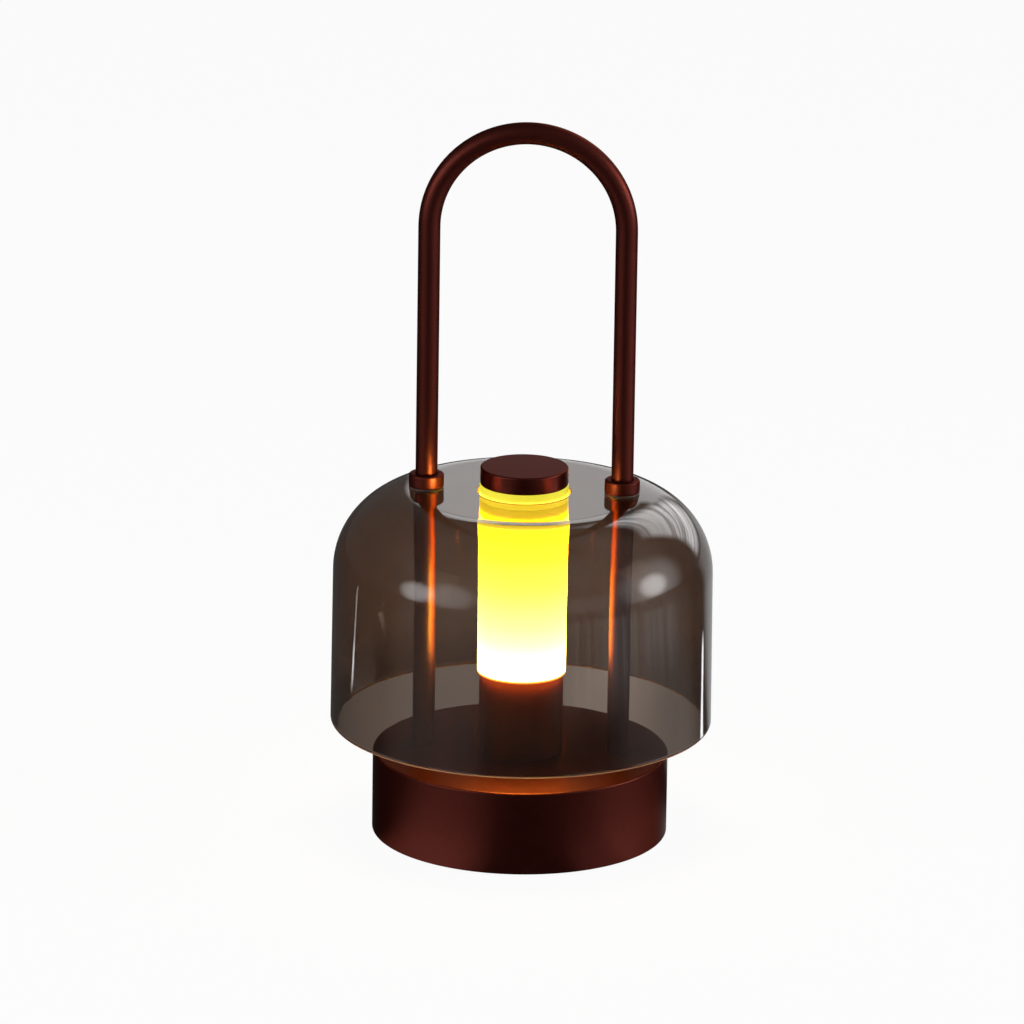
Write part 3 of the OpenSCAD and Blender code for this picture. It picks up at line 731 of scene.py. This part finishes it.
def pool(vector, aim, outer, inner):
    """A soft round patch of light towards aim, from outer to inner degrees off it."""
    off = reach(vector, Vector(aim).normalized())
    return step(off, cos(radians(outer)), cos(radians(inner)))


def strip(place, first, last, half_width):
    """A straight band of light on the floor between two points in mm."""
    first, last = (Vector((*point, 0)) * MM for point in (first, last))
    along = (last - first).normalized()
    across = Vector((-along.y, along.x, 0))
    ahead = reach(place, along)
    off = reach(place, across) - across.dot(first)
    start_at, end_at = along.dot(first), along.dot(last)
    soft = 0.02
    narrow = 1 - step(off.math("ABSOLUTE", off), 0.5 * half_width * MM, 1.3 * half_width * MM)
    return (narrow * step(ahead, start_at - soft, start_at + soft)
            * (1 - step(ahead, end_at - soft, end_at + soft)))


def mirrored_only(start):
    """Rays that bounce off a gloss. Rays through glass count as glossy too."""
    glossy = start.node("LightPath", output="Is Glossy Ray")
    return glossy * (1 - start.node("LightPath", output="Is Transmission Ray"))


def seen_only(start):
    """Rays straight from the camera, or on their way through glass."""
    return (start.node("LightPath", output="Is Camera Ray")
            + start.node("LightPath", output="Is Transmission Ray"))


print("bearing 90, rise 0 is", [round(v, 3) for v in bearing(90)])

# %% [markdown]
# The patches lie where the lamp's upright walls look. Seen from 17 degrees above, a
# wall mirrors the floor about three times its own height away, and its bearing turns
# twice as fast as the wall does. So close patches light the base, far ones the glass,
# and three thin strips draw the bright upright lines on it. Through the glass, the floor
# round the lamp gets a painted shade: a darker emission that stands in for the shadow of
# the dark bell. This painted shade is halved in a painted glow band that starts at the
# tube and runs to its right.

# %% Finish the floor
material, start = fresh("studio_floor")
place = spot(start)
round_lamp = start.node("VectorMath", {"operation": "NORMALIZE"}, {0: place})
from_lamp = start.node("VectorMath", {"operation": "LENGTH"}, {0: place}, output="Value")
near = 1 - step(from_lamp, 0.09, 0.15)
beside = 1 - step(from_lamp, 0.12, 0.2)
far = step(from_lamp, 0.3, 0.45) * (1 - step(from_lamp, 0.5, 0.7, 0.0, 0.5))
streaks = step(start.node("TexNoise", inputs={
    "Vector": round_lamp, "Scale": 13.0, "Detail": 3.0}, output="Fac"), 0.35, 0.65, 0.6, 1.3)
pools = (0.06
         + (0.21 + 0.42 * near) * pool(round_lamp, bearing(-43), 36, 8)
         + (0.23 + 0.3 * near) * pool(round_lamp, bearing(84), 38, 10)
         + 0.3 * near * pool(round_lamp, bearing(46), 22, 6)
         + (0.45 + 1.3 * beside) * pool(round_lamp, bearing(155), 22, 8)
         + 0.45 * far * streaks * (pool(round_lamp, bearing(78), 30, 8)
                                   + pool(round_lamp, bearing(42), 30, 8))
         + 4.2 * strip(place, (-296, 87), (-363, 110), 5.5)
         + 1.8 * strip(place, (-363, 110), (-728, 233), 6)
         + 4.0 * strip(place, (170, 110), (262, 249), 9))
# painted glow: a band right of the tube where the painted shade is halved
east = start.node("SeparateXYZ", inputs={"Vector": place}, output="X")
painted_glow_band = step(east, 0.0, 0.022) * (1 - step(east, 0.035, 0.07))
through = start.node("LightPath", output="Is Transmission Ray")
# painted shade: near the lamp, rays through the glass see a darker floor emission
painted_shade_through_glass = through * (1 - step(from_lamp, 0.25, 0.34)) * (1 - 0.5 * painted_glow_band)

# shade_level is the emission strength of the painted shade
white_level, shade_level, pool_level = 0.98, 0.43, 5.0
seen_share = 0.965
white, shade, lit = (start.node("Emission", inputs={
    "Color": tint((1, 1, 1)), "Strength": level})
    for level in (white_level, shade_level, pool_level))
paper = mix(grain(start, 2.5, 2), (0.8, 0.8, 0.8), (0.82, 0.82, 0.82))
matte = start.node("BsdfDiffuse", inputs={"Color": paper})
pale = start.node("MixShader", inputs={0: seen_share * seen_only(start), 1: matte, 2: white})
pale = start.node("MixShader", inputs={0: painted_shade_through_glass, 1: pale, 2: shade})
mirrored = start.node("MixShader", inputs={0: pools / pool_level, 2: lit})
output(start, start.node("MixShader", inputs={0: mirrored_only(start), 1: pale, 2: mirrored}))
floor_mesh.materials.append(material)
print("floor nodes", len(material.node_tree.nodes))

# %% [markdown]
# The world is white where the camera or the glass looks straight at it, and modest
# where it lights the lamp. Reflections see soft boxes with blurred edges: two narrow
# ones low behind the lamp, which silver the flat top of the glass and its front edge, a
# slatted one behind and to the right, which draws the ripples on the right shoulder,
# round ones for the soft spots left and right, and faint wide ones to the sides and
# above.

# %% Light the world
world = bpy.data.worlds.new("studio")
bpy.context.scene.world = world
world.use_nodes = True
world.node_tree.nodes.clear()
sky = Signal(world.node_tree)
way = sky.node("TexCoord", output="Generated")
rise = sky.node("SeparateXYZ", inputs={"Vector": way}, output="Z")


def panel(aim, half_width, low, high, soft=3):
    """An upright soft box at a bearing, between two rises. All are in degrees."""
    across = reach(way, bearing(aim + 90))
    ahead = reach(way, bearing(aim))
    edge = sin(radians(half_width))
    blur = sin(radians(soft))
    wide = 1 - step(across.math("ABSOLUTE", across), edge - blur, edge + blur)
    tall = (step(rise, sin(radians(low - soft)), sin(radians(low + soft)))
            * (1 - step(rise, sin(radians(high - soft)), sin(radians(high + soft)))))
    return wide * tall * step(ahead, 0.0, 0.1)


slats = step(sky.node("TexNoise", inputs={
    "Vector": sky.node("Mapping", inputs={"Vector": way, "Scale": (1.2, 1.2, 26)}),
    "Scale": 1.0, "Detail": 3.0}, output="Fac"), 0.36, 0.62, 0.45, 1.15)
rear = (1.05 * panel(180, 8, -4, 20, 1.5) + 1.8 * panel(183, 5, 21, 31, 2)
        + 2.6 * panel(155, 14, 3, 42, 4) * slats)
left = (0.12 * panel(-52, 26, -5, 38, 8) + 1.5 * pool(way, bearing(-42, 14), 20, 1)
        + 3.8 * pool(way, bearing(-64, 10), 14, 1))
side = (0.6 * panel(86, 22, -5, 24, 8) + 1.2 * pool(way, bearing(92, 14), 30, 3)
        + 0.4 * panel(46, 18, -5, 18, 7) + 5.0 * pool(way, bearing(91, 11), 14, 1))
above = 0.08 * panel(-62, 32, 28, 66, 8) + 0.17 * panel(78, 34, 22, 68, 8)
reflected = 0.1 + rear + left + side + above
fill = 0.35
backdrop_white = 0.972
seen, mirror = seen_only(sky), mirrored_only(sky)
strength = seen * backdrop_white + mirror * reflected + (1 - seen - mirror) * fill
background = sky.node("Background", inputs={"Color": tint((1, 1, 1)), "Strength": strength})
tail = world.node_tree.nodes.new("ShaderNodeOutputWorld")
world.node_tree.links.new(background.socket, tail.inputs["Surface"])
print("world nodes", len(world.node_tree.nodes))

# %% [markdown]
# Three plain soft boxes light the lamp itself, left, right and above. They are hidden
# from the camera and from gloss, because the world already holds what a gloss sees.

# %% Stand the soft boxes
lamp_middle = Vector((0, 0, 0.1))


def soft_box(name, place, width, height, power):
    lamp = bpy.data.lights.new(name, "AREA")
    lamp.shape = "RECTANGLE"
    lamp.size, lamp.size_y = width, height
    lamp.energy = power
    box = bpy.data.objects.new(name, lamp)
    bpy.context.scene.collection.objects.link(box)
    box.location = place
    box.rotation_euler = (lamp_middle - Vector(place)).to_track_quat("-Z", "Y").to_euler()
    box.visible_camera = False
    box.visible_glossy = False
    print(name, "power", power)


soft_box("box_left", (-1.0, -0.75, 0.55), 0.5, 1.1, 9)
soft_box("box_right", (1.25, -0.05, 0.5), 0.5, 1.1, 10)
soft_box("box_top", (0, 0.1, 1.8), 0.9, 0.9, 8)

# %% [markdown]
# The frosted tube also lights what stands right beside it: it leaves a red glow at the
# top of the stem, a bright line down each post, and a warm spot on the collars and on
# the edge of the cap. That light leaves the frost at low angles, where paths seldom
# find it. Small warm lamps stand in for it, and light linking lets each one reach only
# its own pieces.

# %% Hang the glow lamps
def glow(name, pieces, places, power, radius_mm, colour):
    reached = bpy.data.collections.new(name + "_reaches")
    for piece in pieces:
        reached.objects.link(bpy.data.objects[piece])
    for number, place in enumerate(places):
        lamp = bpy.data.lights.new(f"{name}_{number}", "POINT")
        lamp.energy = power
        lamp.color = colour
        lamp.shadow_soft_size = radius_mm * MM
        bulb = bpy.data.objects.new(lamp.name, lamp)
        bpy.context.scene.collection.objects.link(bulb)
        bulb.location = Vector(place) * MM
        bulb.visible_camera = bulb.visible_transmission = False
        bulb.light_linking.receiver_collection = reached
    print(name, "lamps", len(places))


def round_column(radius_mm, z_mm, *bearings):
    """Places in mm on a circle round the column, one for each bearing."""
    return [(*(radius_mm * v for v in bearing(turn)[:2]), z_mm) for turn in bearings]


glow("stem_glow", ["stem"], round_column(33, 76, *range(4, 364, 15)), 0.035, 9,
     (1.0, 0.6, 0.08))
for hand, x, power in (("left", -31, 0.034), ("right", 31, 0.007)):
    glow(f"collar_{hand}_glow", [f"collar_{hand}_ring", f"post_{hand}_rod", "handle_rod"],
         [(x, -17, 164.5)], power, 4, (1.0, 0.8, 0.16))
for hand, x, y in (("left", -24, -13.8), ("right", 24, 5)):
    glow(f"post_{hand}_glow", [f"post_{hand}_rod"], [(x, y, z) for z in (86, 95, 104, 115)],
         0.16, 7, (0.5, 1.0, 0.1))
glow("cap_glow", ["cap"], [(x, y, 166) for x in (-27, 27) for y in (-22, 22)], 0.0015, 5,
     (1.0, 0.4, 0.08))

# %% [markdown]
# ## Finish
# The Standard view shows each colour as it is written.

# %% Colour management
bpy.context.scene.view_settings.view_transform = "Standard"
print("view", bpy.context.scene.view_settings.view_transform)
